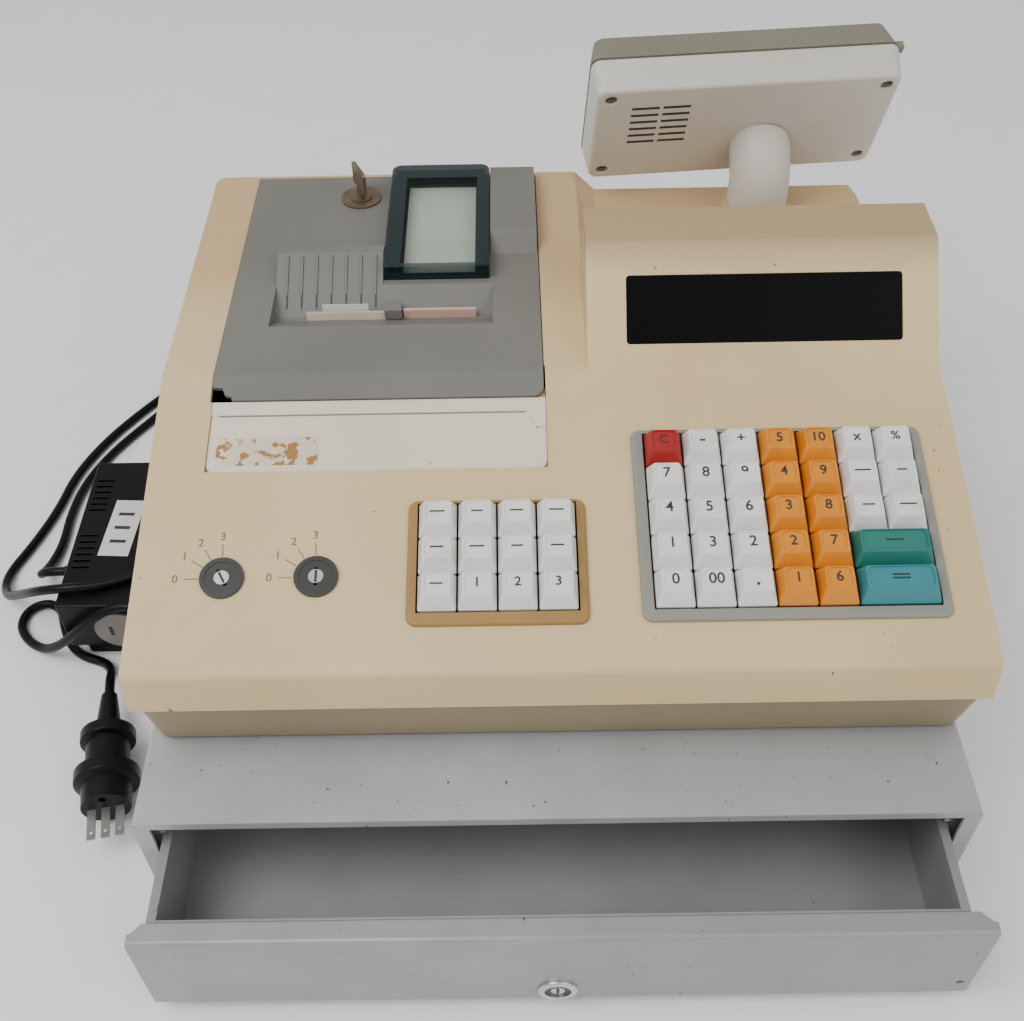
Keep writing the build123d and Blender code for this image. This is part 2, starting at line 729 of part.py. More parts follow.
def add_receipt_ramp():
    """Ribbed ramp that rises over the cover and the shallow well at its foot."""
    level = top_z + cover_rise
    left = across(well_left)
    under = [(behind(200), level - 2), (behind(216), level - 11.5), (behind(224), level - 11.5),
             (behind(243), level - 2)]
    prism(side_view(left - 2), under, well_right - well_left + 4)
    groove = [(behind(202.5), level + 0.01), (behind(218.5), level - 8.8), (behind(221.5), level - 8.8),
              (behind(239), level + 0.01)]
    prism(side_view(left), groove, well_right - well_left, mode=Mode.SUBTRACT)
    ramp = [(behind(236), level - 1.5), (behind(239), level), (behind(257.5), level + 9.2),
            (behind(264), level + 9.2), (behind(266), level - 1.5)]
    prism(side_view(left), ramp, well_split - well_left)
    hollow = [(behind(246), level - 4), (behind(257.5), level + 6.0), (behind(262), level + 6.0),
              (behind(263), level - 4)]
    prism(side_view(left + 2), hollow, well_split - well_left - 4, mode=Mode.SUBTRACT)
    for number in range(7):
        rib = across(well_left + 5.6 + number * 8.3)
        line = [(behind(233), level - 3.2), (behind(233.4), level - 2.0), (behind(255.4), level + 9.1),
                (behind(256.2), level + 8.2)]
        prism(side_view(rib), line, 1.0)


def add_cover_block():
    """Closed housing to the right of the journal window."""
    level = top_z + cover_rise
    left = across(block_left)
    wide = cover_right - 0.6 - block_left
    outside = [(behind(265), level - 1), (behind(279.6), level + 8.8), (behind(325), level + 8.8),
               (behind(348), level + 7.2), (behind(348), level - 1)]
    inside = [(behind(270), level - 4), (behind(281), level + 6.4), (behind(325), level + 6.4),
              (behind(345.5), level + 5), (behind(345.5), level - 4)]
    prism(side_view(left), outside, wide)
    prism(side_view(left + 2), inside, wide - 4, mode=Mode.SUBTRACT)


def make_printer_cover():
    left = across(cover_left)
    with BuildPart() as cover:
        prism(side_view(left), cover_side(cover_rise - cover_t, cover_rise, cover_back_y),
              cover_right - cover_left)
        corner = cover.edges().filter_by(Axis.X, reverse=True).group_by(Axis.Y)[0]
        fillet(corner.sort_by(Axis.X)[-1:], 6)
        add_receipt_ramp()
        add_cover_block()
        x0, x1, y0, y1 = window_box
        block(across(x0 + 3), across(x1 - 3), behind(y0 + 3), behind(y1 - 9),
              top_z - 4, top_z + 4, mode=Mode.SUBTRACT)
        disc(Plane.XY, across(cover_lock_x), behind(cover_lock_y), 9.05, top_z - 5, top_z + 4,
             mode=Mode.SUBTRACT)
        notch = [(cover_left - 1, cover_front_s - 1), (cover_left + 11, cover_front_s - 1),
                 (cover_left + 10.6, cover_front_s + 2.0), (cover_left + 7, cover_front_s + 3.2),
                 (cover_left + 5.4, cover_front_s + 7.6), (cover_left - 1, cover_front_s + 8.4)]
        prism(DECK.offset(-5), notch, 9, mode=Mode.SUBTRACT)
        for x in (cover_left + 14, cover_right - 24):
            block(across(x), across(x + 10), behind(cover_back_y - 7), behind(cover_back_y - 1),
                  top_z - 9, top_z - 1)
    save(cover, "printer_cover")


def make_journal_window():
    x0, x1, y0, y1 = window_box
    level = top_z + cover_rise
    with BuildPart() as window:
        slab(Plane.XY, across(x0), across(x1), behind(y0), behind(y1), level, level + window_h)
        fillet(window.edges().filter_by(Axis.Z).group_by(Axis.Y)[-1], 6)
        fillet(window.edges().filter_by(Axis.Z).group_by(Axis.Y)[0], 1.5)
        fillet(window.faces().sort_by(Axis.Z)[-1].edges(), 1.0)
        block(across(x0 + 2.5), across(x1 - 2.5), behind(y0 + 2.5), behind(y1 - 2.5),
              level - 1, level + window_h - 2.5, mode=Mode.SUBTRACT)
    save(window, "journal_window")


def saw_outline(x0, x1, low, high, tooth):
    """Upright strip with a saw-toothed top edge."""
    count = int((x1 - x0) / tooth)
    step = (x1 - x0) / count
    points = [(x0, low)]
    for number in range(count):
        points.append((x0 + number * step, high))
        points.append((x0 + (number + 0.5) * step, high + 0.8))
    points.append((x1, high))
    points.append((x1, low))
    return points


def make_tear_bars():
    level = top_z + cover_rise - 8.8
    with BuildPart() as bars:
        receipt_bar = saw_outline(across(-133.2), across(-89.4), level, level + 4.6, 1.1)
        journal_bar = saw_outline(across(-79.2), across(-39.2), level, level + 4.4, 1.1)
        prism(Plane.XZ.offset(-behind(220.2)), receipt_bar, 1.4)
        prism(Plane.XZ.offset(-behind(221.4)), journal_bar, 1.4)
        block(across(-89.4), across(-80.4), behind(217.2), behind(225.4), level + 2.2, level + 7.2)
        block(across(-88), across(-82), behind(219), behind(221.3), level, level + 3)
    save(bars, "tear_bars")


def make_cover_lock():
    x, y = across(cover_lock_x), behind(cover_lock_y)
    level = top_z + cover_rise
    with BuildPart() as barrel:
        disc(Plane.XY, x, y, 12, level, level + 1.2)
        disc(Plane.XY, x, y, 9, level - 13, level)
        disc(Plane.XY, x, y, 6.55, level - 14, level + 2, mode=Mode.SUBTRACT)
    save(barrel, "cover_lock_barrel")
    with BuildPart() as key:
        disc(Plane.XY, x, y, 6.5, level - 15, level + 1.8)
        bow = Plane(origin=(x, y, level + 1.5), x_dir=(0.42, -0.91, 0), z_dir=(-0.91, -0.42, 0))
        with BuildSketch(bow.offset(-1)) as blade:
            with Locations((0, 3)):
                Rectangle(9, 6)
            with Locations((0, 12.6)):
                RectangleRounded(19, 14, 2.2)
            with Locations((-2, 14)):
                Circle(1.6, mode=Mode.SUBTRACT)
        extrude(blade.sketch, amount=2)
        block(x - 3, x + 15, y - 4, y + 4, level - 16.5, level - 15)
    save(key, "cover_key")


def make_main_board():
    with BuildPart() as board:
        block(across(10), across(178), behind(190), behind(335), 116, 117.6)
        block(across(40), across(110), behind(230), behind(270), 117.6, 121)
        block(across(130), across(170), behind(210), behind(300), 117.6, 124)
        for x in (18, 170):
            for y in (198, 327):
                disc(Plane.XY, across(x), behind(y), 3, base_low + case_wall, 116)
    save(board, "main_board")


# ---- customer display -----------------------------------------------------

def make_display_neck():
    foot = top_z - shelf_drop + 9.3
    with BuildPart() as neck:
        with BuildLine(Plane.YZ.offset(across(neck_x))) as spine:
            upright = Line((behind(neck_y), foot), (behind(neck_y), 203))
            JernArc(start=upright @ 1, tangent=upright % 1, radius=22, arc_size=-72)
        with BuildSketch(Plane.XY.offset(foot)) as section:
            with Locations((across(neck_x), behind(neck_y))):
                Circle(neck_r)
        sweep(section.sketch, path=spine.line)
        slab(HEAD, -90, 90, -60, 60, -60, 0, mode=Mode.SUBTRACT)
        disc(Plane.XY, across(neck_x), behind(neck_y), 10.95, foot - 18, foot + 1)
        disc(Plane.XY, across(neck_x), behind(neck_y), 7, foot - 19, foot - 1, mode=Mode.SUBTRACT)
    save(neck, "display_neck")


def tapered(plane, near, far, z_near, z_far, corner, mode=Mode.ADD):
    """A box between two rounded rectangles at two heights over a plane."""
    with BuildSketch(plane.offset(z_near)) as first:
        RectangleRounded(near[0], near[1], corner)
    with BuildSketch(plane.offset(z_far)) as second:
        RectangleRounded(far[0], far[1], corner)
    loft([first.sketch, second.sketch], mode=mode)


def head_screw_places():
    """Corner screws of the customer display, on the head's plane."""
    return [(side * screw_gap_w / 2, rise * screw_gap_h / 2) for side in (-1, 1) for rise in (-1, 1)]


def make_display_rear():
    with BuildPart() as rear:
        tapered(HEAD, (head_w, head_h), (head_w + 4, head_h + 4), 0, -head_back_d, 6)
        fillet(rear.faces().sort_by(Axis.Y)[0].edges(), 2.4)
        tapered(HEAD, (head_w - 6, head_h - 6), (head_w - 2, head_h - 2), -2.6, -head_back_d - 0.01, 4,
                mode=Mode.SUBTRACT)
        for x, y in head_screw_places():
            disc(HEAD, x, y, 5.6, -head_back_d, -2)
            disc(HEAD, x, y, 3.7, -3.4, 1, mode=Mode.SUBTRACT)
        for row in range(6):
            for x in (-66.8, -48.6):
                high = 22.6 - row * 5.7
                slab(HEAD, x, x + 16, high - 0.6, high + 0.6, -4, 1, mode=Mode.SUBTRACT)
    save(rear, "display_rear")


def make_display_front():
    near = -head_back_d
    far = near - head_front_d
    with BuildPart() as front:
        tapered(HEAD, (head_w + 4, head_h + 4), (head_w - 4, head_h - 2), near, far, 6)
        tapered(HEAD, (head_w - 1, head_h - 1), (head_w - 9, head_h - 7), near + 0.01, far + 2.6, 4,
                mode=Mode.SUBTRACT)
        slab(HEAD, -76, 76, -24, 24, far - 2, far + 6, corner=2, mode=Mode.SUBTRACT)
        end = head_w / 2 + 1
        slab(HEAD, end, end + 5, 30, 35, near - 5, near - 0.5)
    save(front, "display_front")


def make_customer_window():
    inner = -head_back_d - head_front_d + 2.6
    with BuildPart() as window:
        slab(HEAD, -80, 80, -28, 28, inner + 0.02, inner + 2.6)
        slab(HEAD, -75.8, 75.8, -23.8, 23.8, inner - 1.8, inner + 0.1, corner=1.8)
    save(window, "customer_window")


def make_display_screws():
    with BuildPart() as screws:
        for x, y in head_screw_places():
            disc(HEAD, x, y, 3.3, -3.4, -1.6)
            slab(HEAD, x - 2.6, x + 2.6, y - 0.45, y + 0.45, -2.2, -1, mode=Mode.SUBTRACT)
    save(screws, "display_screws")


# ---- power unit and leads -------------------------------------------------

def make_power_unit():
    with BuildPart() as shell:
        block(unit_left, unit_right, unit_front, unit_back, unit_step, unit_top)
        fillet(shell.edges().filter_by(Axis.Z), 2)
        fillet(shell.faces().sort_by(Axis.Z)[-1].edges(), 1.2)
        block(unit_left + 2.5, unit_right - 2.5, unit_front + 2.5, unit_back - 2.5,
              unit_step - 1, unit_top - 2.5, mode=Mode.SUBTRACT)
        for start in (unit_front + 78, unit_front + 30):
            for number in range(6):
                y = start + number * 5.2
                block(unit_left + 3.5, unit_left + 14, y, y + 1.6, unit_top - 5, unit_top + 1,
                      mode=Mode.SUBTRACT)
    save(shell, "power_case")
    with BuildPart() as base:
        block(unit_left + 7, unit_right - 7, unit_front + 4, unit_back - 6, 0, unit_step)
        fillet(base.edges().filter_by(Axis.Z), 4)
    save(base, "power_base")


def lead_radii(route):
    """Arc radius for each corner: 0.45 of its shorter run over tan of half the turn."""
    radii = []
    for before, here, after in zip(route, route[1:], route[2:]):
        arrive = Vector(*here) - Vector(*before)
        leave = Vector(*after) - Vector(*here)
        half_turn = radians(arrive.get_angle(leave) / 2)
        radii.append(0.45 * min(arrive.length, leave.length) * cos(half_turn) / sin(half_turn))
    return radii


def make_lead(name, route):
    """Round lead along a hand-placed route of straight runs and arcs."""
    radii = lead_radii(route)
    print(name, "smallest radii", sorted(round(radius, 1) for radius in radii)[:4])
    with BuildPart() as lead:
        with BuildLine() as path:
            FilletPolyline(*route, radius=radii)
        start = Plane(origin=path.line @ 0, z_dir=path.line % 0)
        with BuildSketch(start) as section:
            Circle(lead_r)
        sweep(section.sketch, path=path.line)
    print(name, "length", round(path.wires()[0].length, 1))
    save(lead, name)


def make_lead_glands():
    """Strain reliefs where the leads leave the case and enter the power unit."""
    with BuildPart() as glands:
        for x in lead_exit_x:
            wall = Plane.XZ.offset(-lead_exit_y)
            disc(wall, x, lead_exit_z, 5.4, 27.0, 33.0)
            disc(wall, x, lead_exit_z, 7.5, 24.5, 27.8)
            with BuildSketch(wall.offset(26)) as thick:
                with Locations((x, lead_exit_z)):
                    Circle(5.6)
            with BuildSketch(wall) as thin:
                with Locations((x, lead_exit_z)):
                    Circle(3.9)
            loft([thick.sketch, thin.sketch])
        inlet = Plane.YZ.offset(unit_left)
        disc(inlet, inlet_y, inlet_z, 6.5, -2, 0)
        with BuildSketch(inlet) as base:
            with Locations((inlet_y, inlet_z)):
                Circle(5.5)
        with BuildSketch(inlet.offset(-12)) as tip:
            with Locations((inlet_y, inlet_z)):
                Circle(3.6)
        loft([base.sketch, tip.sketch])
    save(glands, "lead_glands")


def make_plug():
    # Pairs of radius and distance from the lead
    profile = [
        (0, 0), (4.6, 0), (7.4, 24), (7.4, 26), (15.4, 26), (15.4, 33), (12.2, 34), (12.2, 51),
        (18.0, 52.5), (18.0, 60), (14.0, 62), (13.4, 75), (0, 75),
    ]
    turning = Plane(origin=PLUG.origin, x_dir=PLUG.x_dir, z_dir=(0, 0, -1))
    with BuildPart() as body:
        with BuildSketch(turning) as half:
            with BuildLine():
                Polyline(*profile, close=True)
            make_face()
        revolve(half.sketch, axis=Axis(PLUG.origin, PLUG.z_dir))
        fillet(body.edges().filter_by(GeomType.CIRCLE).filter_by(lambda edge: edge.radius > 15), 1.0)
        disc(PLUG.offset(72), 0, 8.5, 2.2, 0, 4, mode=Mode.SUBTRACT)
    save(body, "plug_body")
    with BuildPart() as pins:
        for x in (-7.6, 0, 7.6):
            slab(PLUG, x - 2.3, x + 2.3, -0.6, 0.6, 75, 93)
        for x in (-7.6, 0, 7.6):
            across_pin = Plane(origin=PLUG.origin, x_dir=PLUG.x_dir, z_dir=(0, 0, 1))
            with BuildSketch(across_pin.offset(-2)) as hole:
                with Locations((x, -89)):
                    Circle(1.1)
            extrude(hole.sketch, amount=4, mode=Mode.SUBTRACT)
    save(pins, "plug_pins")


# ---- build everything -----------------------------------------------------

make_cabinet()
make_cabinet_rails()
make_rubber_feet()
make_drawer_release()
make_drawer_tray()
make_drawer_front()
make_drawer_lock_barrel()
make_drawer_lock_plug()
make_base_shell()
make_top_case()
make_operator_window()
make_operator_display()
make_front_panel()
make_main_keypad_frame()
make_aux_keypad_frame()
make_key_board()
make_all_keys()
make_mode_lock_bodies()
make_mode_rotor("mode_rotor_left", mode_x[0], 118)
make_mode_rotor("mode_rotor_right", mode_x[1], 90)
make_printer_frame()
make_platen()
make_paper_rolls()
make_printer_cover()
make_journal_window()
make_tear_bars()
make_cover_lock()
make_main_board()
make_display_neck()
make_display_rear()
make_display_front()
make_customer_window()
make_display_screws()
make_power_unit()
make_lead_glands()
make_lead("supply_lead", supply_route)
make_lead("mains_lead", mains_route)
make_plug()
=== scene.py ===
import math

import bpy
from mathutils import Matrix, Vector


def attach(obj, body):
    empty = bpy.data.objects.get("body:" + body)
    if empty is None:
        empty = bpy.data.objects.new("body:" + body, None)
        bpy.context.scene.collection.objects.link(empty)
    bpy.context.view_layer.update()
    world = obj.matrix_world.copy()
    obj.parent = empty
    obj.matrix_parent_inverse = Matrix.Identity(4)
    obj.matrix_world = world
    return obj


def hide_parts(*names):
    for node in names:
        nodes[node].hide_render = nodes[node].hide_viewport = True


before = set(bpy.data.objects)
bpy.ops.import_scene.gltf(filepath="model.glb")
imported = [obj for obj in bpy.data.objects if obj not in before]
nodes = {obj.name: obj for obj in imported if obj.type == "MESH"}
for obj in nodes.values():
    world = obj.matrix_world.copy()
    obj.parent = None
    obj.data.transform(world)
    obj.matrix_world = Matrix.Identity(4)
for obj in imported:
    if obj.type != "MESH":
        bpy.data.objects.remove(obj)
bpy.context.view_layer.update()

# Shared dimensions of the CAD model, in metres
CENTRE_SHIFT = -0.00414
CASE_X = 0.00085 + CENTRE_SHIFT
CASE_FRONT = -0.148
LIP_Y = 0.003
LIP_Z = 0.157
TILT = math.radians(14.9)
TOP_Z = 0.19966
COVER_Z = TOP_Z + 0.0008
PITCH = 0.01905
MAIN_LEFT = 0.0452
AUX_LEFT = -0.0664
KEYS_FRONT = 0.0294
LEGEND_H = 0.0090      # just over the dished floor of a keycap
LEAD_R = 0.0029

DECK_AXES = Matrix((
    (1.0, 0.0, 0.0),
    (0.0, math.cos(TILT), -math.sin(TILT)),
    (0.0, math.sin(TILT), math.cos(TILT)),
))


def placed(x, y, z):
    """A point drawn about the middle of the case, in the row's frame."""
    return Vector((x + CENTRE_SHIFT, y, z))


def on_deck(u, s, h=0.0):
    """A point given across the case, up the sloping deck and off its surface."""
    return Vector((CASE_X + u, CASE_FRONT + LIP_Y, LIP_Z)) + DECK_AXES @ Vector((0.0, s, h))


# ---- materials ------------------------------------------------------------

def link(tree, source, target):
    """Joins one socket to another."""
    tree.links.new(source, target)


def noise(tree, where, scale, detail=4.0):
    """A cloudy value over the object; a larger scale gives smaller spots."""
    node = tree.nodes.new("ShaderNodeTexNoise")
    node.inputs["Scale"].default_value = scale
    node.inputs["Detail"].default_value = detail
    link(tree, where, node.inputs["Vector"])
    return node.outputs["Fac"]


def ramp(tree, value, low, high):
    """Turns a value into 0 below low and 1 above high."""
    node = tree.nodes.new("ShaderNodeMapRange")
    node.inputs["From Min"].default_value = low
    node.inputs["From Max"].default_value = high
    link(tree, value, node.inputs["Value"])
    return node.outputs["Result"]


def blend(tree, factor, first, second):
    """A colour mixed from two; either may be a fixed colour or a socket."""
    node = tree.nodes.new("ShaderNodeMix")
    node.data_type = "RGBA"
    for value, place in ((first, 6), (second, 7)):
        if isinstance(value, tuple):
            node.inputs[place].default_value = (*value, 1.0)
        else:
            link(tree, value, node.inputs[place])
    link(tree, factor, node.inputs[0])
    return node.outputs[2]


def times(tree, first, second):
    """The product of two values."""
    node = tree.nodes.new("ShaderNodeMath")
    node.operation = "MULTIPLY"
    link(tree, first, node.inputs[0])
    link(tree, second, node.inputs[1])
    return node.outputs[0]


def finish(name, colour, rough=0.5, metal=0.0, mottle=0.05, mottle_scale=25.0, stain=None,
           stain_scale=6.0, stain_low=0.45, stain_high=0.75, speck=None, speck_scale=90.0,
           speck_low=0.68, grain=0.0, grain_scale=900.0, coat=0.0, shine=0.5, bands=()):
    """A worn surface: soft mottling, broader stains, small specks and a fine grain.
    Each band is an axis, a colour and two places between which it takes over; the bands paint shade
    onto a surface by position."""
    material = bpy.data.materials.new(name)
    material.use_nodes = True
    tree = material.node_tree
    shader = tree.nodes["Principled BSDF"]
    where = tree.nodes.new("ShaderNodeTexCoord").outputs["Object"]
    dark = tuple(channel * (1 - mottle) for channel in colour)
    light = tuple(min(1.0, channel * (1 + mottle)) for channel in colour)
    result = blend(tree, ramp(tree, noise(tree, where, mottle_scale), 0.3, 0.7), dark, light)
    if stain:
        result = blend(tree, ramp(tree, noise(tree, where, stain_scale), stain_low, stain_high),
                       result, stain)
    for axis, tone, low, high in bands:
        axes = tree.nodes.new("ShaderNodeSeparateXYZ")
        link(tree, where, axes.inputs[0])
        result = blend(tree, ramp(tree, axes.outputs[axis], low, high), result, tone)
    if speck:
        spots = ramp(tree, noise(tree, where, speck_scale, 8.0), speck_low, speck_low + 0.03)
        result = blend(tree, spots, result, speck)
    link(tree, result, shader.inputs["Base Color"])
    shader.inputs["Roughness"].default_value = rough
    shader.inputs["Metallic"].default_value = metal
    shader.inputs["Coat Weight"].default_value = coat
    shader.inputs["Specular IOR Level"].default_value = shine
    if grain:
        bump = tree.nodes.new("ShaderNodeBump")
        bump.inputs["Strength"].default_value = grain
        bump.inputs["Distance"].default_value = 0.0004
        link(tree, noise(tree, where, grain_scale, 2.0), bump.inputs["Height"])
        link(tree, bump.outputs["Normal"], shader.inputs["Normal"])
    return material


def within(tree, value, middle, reach):
    """1 where the value lies within reach of the middle, else 0."""
    node = tree.nodes.new("ShaderNodeMath")
    node.operation = "COMPARE"
    node.inputs[1].default_value = middle
    node.inputs[2].default_value = reach
    link(tree, value, node.inputs[0])
    return node.outputs[0]


def tinted_glass():
    """Green see-through plastic with a glossy skin."""
    material = bpy.data.materials.new("tinted_window")
    material.use_nodes = True
    tree = material.node_tree
    shader = tree.nodes["Principled BSDF"]
    where = tree.nodes.new("ShaderNodeTexCoord").outputs["Object"]
    colour = blend(tree, noise(tree, where, 30.0), (0.001, 0.011, 0.012), (0.003, 0.022, 0.022))
    link(tree, colour, shader.inputs["Base Color"])
    shader.inputs["Roughness"].default_value = 0.12
    clear = tree.nodes.new("ShaderNodeBsdfTransparent")
    clear.inputs["Color"].default_value = (0.93, 0.96, 0.94, 1.0)
    mixed = tree.nodes.new("ShaderNodeMixShader")
    axes = tree.nodes.new("ShaderNodeSeparateXYZ")
    link(tree, where, axes.inputs[0])
    middle = times(tree, within(tree, axes.outputs["X"], CASE_X - 0.0602, 0.0212),
                   within(tree, axes.outputs["Y"], CASE_FRONT + 0.2895, 0.0440))
    density = tree.nodes.new("ShaderNodeMapRange")
    density.inputs["To Min"].default_value = 0.80
    density.inputs["To Max"].default_value = 0.10
    link(tree, middle, density.inputs["Value"])
    link(tree, density.outputs["Result"], mixed.inputs[0])
    link(tree, clear.outputs[0], mixed.inputs[1])
    link(tree, shader.outputs[0], mixed.inputs[2])
    link(tree, mixed.outputs[0], tree.nodes["Material Output"].inputs["Surface"])
    return material


LOOK = {
    "hammered": finish("hammered", (0.43, 0.43, 0.435), 0.42, 0.2, 0.06, 35.0, (0.37, 0.365, 0.36),
                       5.0, speck=(0.05, 0.045, 0.04), speck_scale=300.0, speck_low=0.70,
                       grain=0.35, grain_scale=260.0),
    # The drawer front takes a darker copy of the cabinet's hammered paint: painted shade for the
    # less lit front face.
    "hammered_front_shaded": finish("hammered_front_shaded", (0.325, 0.33, 0.33), 0.42, 0.2, 0.06, 35.0,
                             (0.27, 0.27, 0.265), 5.0, speck=(0.05, 0.045, 0.04),
                             speck_scale=300.0, speck_low=0.71, grain=0.35, grain_scale=260.0),
    # The tray paint is darkened to stand for the shade inside the open drawer: painted shade.
    "tray": finish("tray", (0.285, 0.285, 0.28), 0.5, 0.15, 0.06, 20.0, (0.22, 0.21, 0.20), 7.0,
                   speck=(0.07, 0.06, 0.05), speck_scale=140.0, speck_low=0.73,
                   grain=0.2, grain_scale=260.0),
    "zinc": finish("zinc", (0.55, 0.55, 0.53), 0.35, 0.8),
    "rubber": finish("foot_rubber", (0.02, 0.02, 0.02), 0.8),
    "nickel": finish("nickel", (0.62, 0.61, 0.58), 0.25, 0.95, 0.1, 60.0),
    "base": finish("base_plastic", (0.32, 0.255, 0.155), 0.55, 0.0, 0.05, 25.0, (0.25, 0.21, 0.12),
                   5.0, grain=0.15),
    "cream": finish("cream_plastic", (0.69, 0.535, 0.285), 0.5, 0.0, 0.03, 14.0,
                    (0.60, 0.43, 0.20), 5.0, 0.45, 0.8, speck=(0.24, 0.15, 0.07),
                    speck_scale=160.0, speck_low=0.72, grain=0.12,
                    # Both bands are painted shade: darker cream towards the back of the case and on
                    # the top of the hump, which face the light differently.
                    bands=(("Y", (0.57, 0.39, 0.20), 0.060, 0.110),
                           ("Z", (0.41, 0.29, 0.155), 0.234, 0.247))),
    "panel": finish("panel_plastic", (0.76, 0.68, 0.565), 0.5, 0.0, 0.03, 14.0,
                    (0.68, 0.59, 0.47), 8.0, 0.5, 0.8, speck=(0.3, 0.2, 0.1), speck_scale=150.0,
                    speck_low=0.75, grain=0.1),
    "dark_glass": finish("dark_glass", (0.002, 0.002, 0.002), 0.35, 0.0, 0.2, 10.0, shine=0.08),
    "board": finish("board_green", (0.03, 0.12, 0.05), 0.5),
    "frame_grey": finish("frame_grey", (0.25, 0.25, 0.215), 0.45, 0.0, 0.06, 30.0, grain=0.1),
    "frame_tan": finish("frame_tan", (0.32, 0.185, 0.055), 0.45, 0.0, 0.1, 30.0, grain=0.1),
    "white": finish("key_white", (0.78, 0.775, 0.75), 0.35, 0.0, 0.03, 60.0, (0.62, 0.58, 0.50),
                    40.0, 0.6, 0.85, coat=0.1),
    "red": finish("key_red", (0.36, 0.012, 0.010), 0.35, 0.0, 0.08, 60.0, coat=0.1),
    "orange": finish("key_orange", (0.70, 0.24, 0.008), 0.35, 0.0, 0.05, 60.0,
                     (0.55, 0.18, 0.01), 45.0, 0.62, 0.85, coat=0.1),
    "teal": finish("key_teal", (0.016, 0.165, 0.135), 0.38, 0.0, 0.05, 60.0, coat=0.1),
    "blue": finish("key_blue", (0.033, 0.215, 0.25), 0.38, 0.0, 0.05, 60.0, coat=0.1),
    "lock": finish("lock_grey", (0.028, 0.028, 0.027), 0.4, 0.0, 0.15, 60.0),
    "cover": finish("cover_grey", (0.170, 0.163, 0.145), 0.5, 0.0, 0.04, 18.0,
                    (0.135, 0.127, 0.11), 7.0, 0.45, 0.8, speck=(0.08, 0.06, 0.04),
                    speck_scale=130.0, speck_low=0.76, grain=0.15),
    "window": tinted_glass(),
    "paper": finish("paper", (0.74, 0.75, 0.68), 0.8, 0.0, 0.04, 30.0),
    "pin": finish("pin_steel", (0.30, 0.29, 0.27), 0.35, 0.9, 0.15, 80.0),
    "tear": finish("tear_plastic", (0.70, 0.62, 0.52), 0.5, 0.0, 0.06, 60.0),
    "pink": finish("tear_pink", (0.60, 0.40, 0.31), 0.5, 0.0, 0.06, 60.0),
    "display": finish("display_plastic", (0.60, 0.57, 0.51), 0.5, 0.0, 0.03, 14.0,
                      (0.53, 0.495, 0.43), 6.0, 0.5, 0.8, speck=(0.3, 0.22, 0.15),
                      speck_scale=130.0, speck_low=0.77, grain=0.1),
    "olive": finish("display_olive", (0.19, 0.185, 0.13), 0.5, 0.0, 0.05, 20.0, grain=0.15),
    "screw": finish("screw_steel", (0.16, 0.14, 0.12), 0.4, 0.7),
    "bronze": finish("key_bronze", (0.20, 0.15, 0.10), 0.45, 0.7, 0.25, 90.0),
    "black": finish("black_plastic", (0.005, 0.005, 0.0055), 0.38, 0.0, 0.2, 40.0, grain=0.15,
                    shine=0.2),
    "lead": finish("lead_black", (0.003, 0.003, 0.0035), 0.35, 0.0, 0.2, 60.0, shine=0.2),
    "socket": finish("socket_grey", (0.24, 0.22, 0.19), 0.5, 0.0, 0.08, 60.0),
    # Dark print, and also painted shade: rib shadow lines, vent slot depths, keyholes and socket
    # holes.
    "ink_and_painted_shade": finish("dark_ink_and_painted_shade", (0.03, 0.028, 0.028), 0.6, 0.0, 0.2, 90.0),
    "brown_ink": finish("brown_ink", (0.20, 0.13, 0.07), 0.6, 0.0, 0.2, 90.0),
    "label": finish("label_white", (0.70, 0.69, 0.66), 0.5, 0.0, 0.04, 40.0),
    "residue": finish("glue_residue", (0.70, 0.61, 0.47), 0.6, 0.0, 0.06, 60.0,
                      (0.36, 0.17, 0.04), 170.0, 0.53, 0.57),
    "seam": finish("seam_shadow", (0.25, 0.19, 0.12), 0.7, 0.0, 0.15, 60.0),
}

NODE_LOOK = {
    "hammered": ["cabinet"],
    "hammered_front_shaded": ["drawer_front"],
    "tray": ["drawer_tray"],
    "zinc": ["cabinet_rails", "drawer_release", "printer_frame"],
    "rubber": ["rubber_feet", "platen"],
    "nickel": ["drawer_lock_barrel"],
    "pin": ["plug_pins"],
    "base": ["base_shell"],
    "cream": ["top_case"],
    "panel": ["front_panel"],
    "dark_glass": ["operator_window", "customer_window"],
    "board": ["operator_display", "key_board", "main_board"],
    "frame_grey": ["main_keypad_frame"],
    "frame_tan": ["aux_keypad_frame"],
    "white": ["key_%d" % digit for digit in range(10)]
             + ["key_minus", "key_plus", "keys_decimal", "keys_function", "keys_aux"],
    "red": ["key_clear"],
    "orange": ["keys_department"],
    "teal": ["key_subtotal"],
    "blue": ["key_total"],
    "lock": ["mode_lock_bodies", "mode_rotor_left", "mode_rotor_right", "drawer_lock_plug"],
    "cover": ["printer_cover"],
    "window": ["journal_window"],
    "paper": ["receipt_roll", "journal_spool"],
    "tear": ["tear_bars"],
    "display": ["display_neck", "display_rear"],
    "olive": ["display_front"],
    "screw": ["display_screws"],
    "bronze": ["cover_key", "cover_lock_barrel"],
    "black": ["power_case", "power_base", "lead_glands", "plug_body"],
    "lead": ["supply_lead", "mains_lead"],
}
for look, names in NODE_LOOK.items():
    for name in names:
        nodes[name].data.materials.clear()
        nodes[name].data.materials.append(LOOK[look])


def soften(name, width, segments=2):
    """Rounds the sharp edges of a CAD node without touching its own mesh."""
    weld = nodes[name].modifiers.new("weld", "WELD")
    weld.merge_threshold = 0.00001
    bevel = nodes[name].modifiers.new("round", "BEVEL")
    bevel.width = width
    bevel.segments = segments
    bevel.limit_method = "ANGLE"
    bevel.angle_limit = math.radians(35)
    bevel.harden_normals = True


